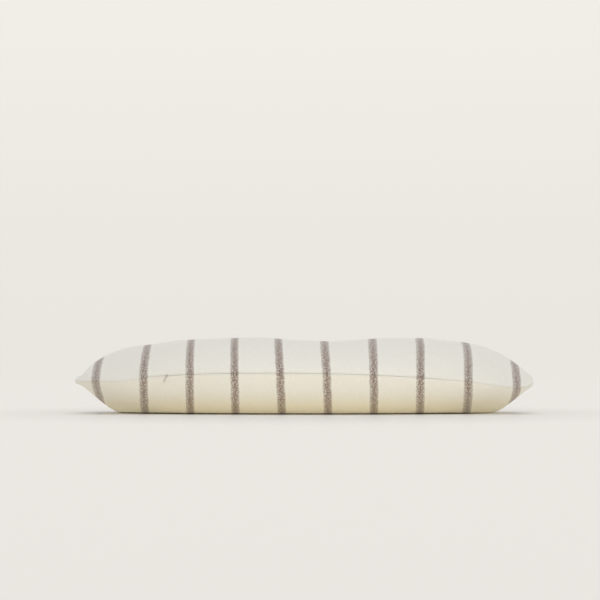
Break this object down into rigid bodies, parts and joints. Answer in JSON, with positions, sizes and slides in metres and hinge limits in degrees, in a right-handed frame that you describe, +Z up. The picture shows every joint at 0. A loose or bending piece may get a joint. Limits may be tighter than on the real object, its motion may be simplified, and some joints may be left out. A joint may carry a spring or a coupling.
{
  "type": "nursing pillow",
  "caption": "C-shaped nursing pillow lying flat: a striped removable cover with a concealed zip in its front seam, round a fibre-filled inner pillow.",
  "frame": {"origin": "on the surface the pillow lies on, below the middle of its box", "axes": "+X to the right along the pillow's width, +Y from the zip in the outer front seam towards the mouth of the C, +Z up, through its thickness"},
  "size_m": [0.6998, 0.5415, 0.114],
  "materials": {
    "cover_cloth": "woven cotton, slubby grey-beige stripes from front to back, matt",
    "sewing_thread": "spun polyester sewing thread, matt",
    "zip_tape": "woven polyester tape",
    "zip_coil": "cream nylon coil",
    "zip_metal": "cream enamel, satin",
    "case_cloth": "plain white cotton casing cloth",
    "fibre": "white polyester hollow fibre",
    "care_label": "blank white satin ribbon"
  },
  "bodies": {
    "pillow": {"cover_top_panel": "cover_cloth", "cover_bottom_panel": "cover_cloth", "cover_seam_overlock": "sewing_thread", "zip_tape_upper": "zip_tape", "zip_tape_lower": "zip_tape", "zip_coil_upper": "zip_coil", "zip_coil_lower": "zip_coil", "zip_top_stop_upper": "zip_metal", "zip_top_stop_lower": "zip_metal", "zip_bottom_stop": "zip_metal", "zip_bartack_left": "sewing_thread", "zip_bartack_right": "sewing_thread", "cover_care_label": "care_label", "inner_case_top": "case_cloth", "inner_case_bottom": "case_cloth", "inner_seam_overlock": "sewing_thread", "inner_closing_stitch": "sewing_thread", "inner_care_label": "care_label", "fibre_filling": "fibre"},
    "zip_slider": {"zip_slider": "zip_metal"},
    "zip_pull": {"zip_pull": "zip_metal"}
  },
  "joints": [
    {"name": "zip_slide", "type": "hinge", "parent": "pillow", "child": "zip_slider", "pos_m": [0, 0.0778, 0.0274], "axis": [0.0133, 0.0947, 0.9954], "range_deg": [0, 70.5]},
    {"name": "pull_flip", "type": "hinge", "parent": "zip_slider", "child": "zip_pull", "pos_m": [-0.20386, -0.20687, 0.05722], "axis": [-0.8144, 0.5786, -0.0442], "range_deg": [0, 165]}
  ]
}
